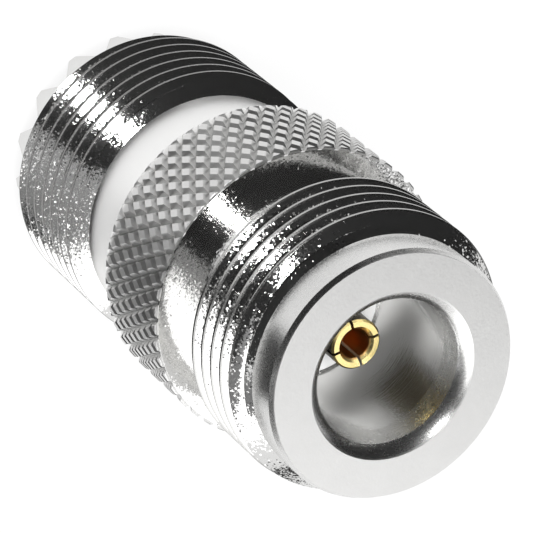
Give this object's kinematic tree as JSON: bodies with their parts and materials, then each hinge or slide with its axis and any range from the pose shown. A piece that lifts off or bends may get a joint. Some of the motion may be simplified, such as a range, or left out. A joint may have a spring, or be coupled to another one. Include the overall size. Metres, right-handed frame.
{
  "type": "coax adapter",
  "caption": "Straight coaxial barrel adapter: N socket at one end, UHF socket at the other, both ends threaded outside, with a knurled flange between them.",
  "frame": {"origin": "on the axis, in the plane of the UHF rim's tooth tips, which the part stands on", "axes": "+Z along the axis from the UHF end to the N end, +X and +Y across it; the picture shows the -Y side from above"},
  "size_m": [0.0168, 0.0168, 0.0321],
  "materials": {
    "nickel": "turned brass with satin nickel plate",
    "gold": "gold plate, polished",
    "white_insulator": "machined PTFE"
  },
  "bodies": {
    "root": {"shell": "nickel", "n_insulator": "white_insulator", "uhf_insulator": "white_insulator", "n_contact": "gold", "uhf_contact": "gold"}
  },
  "joints": []
}
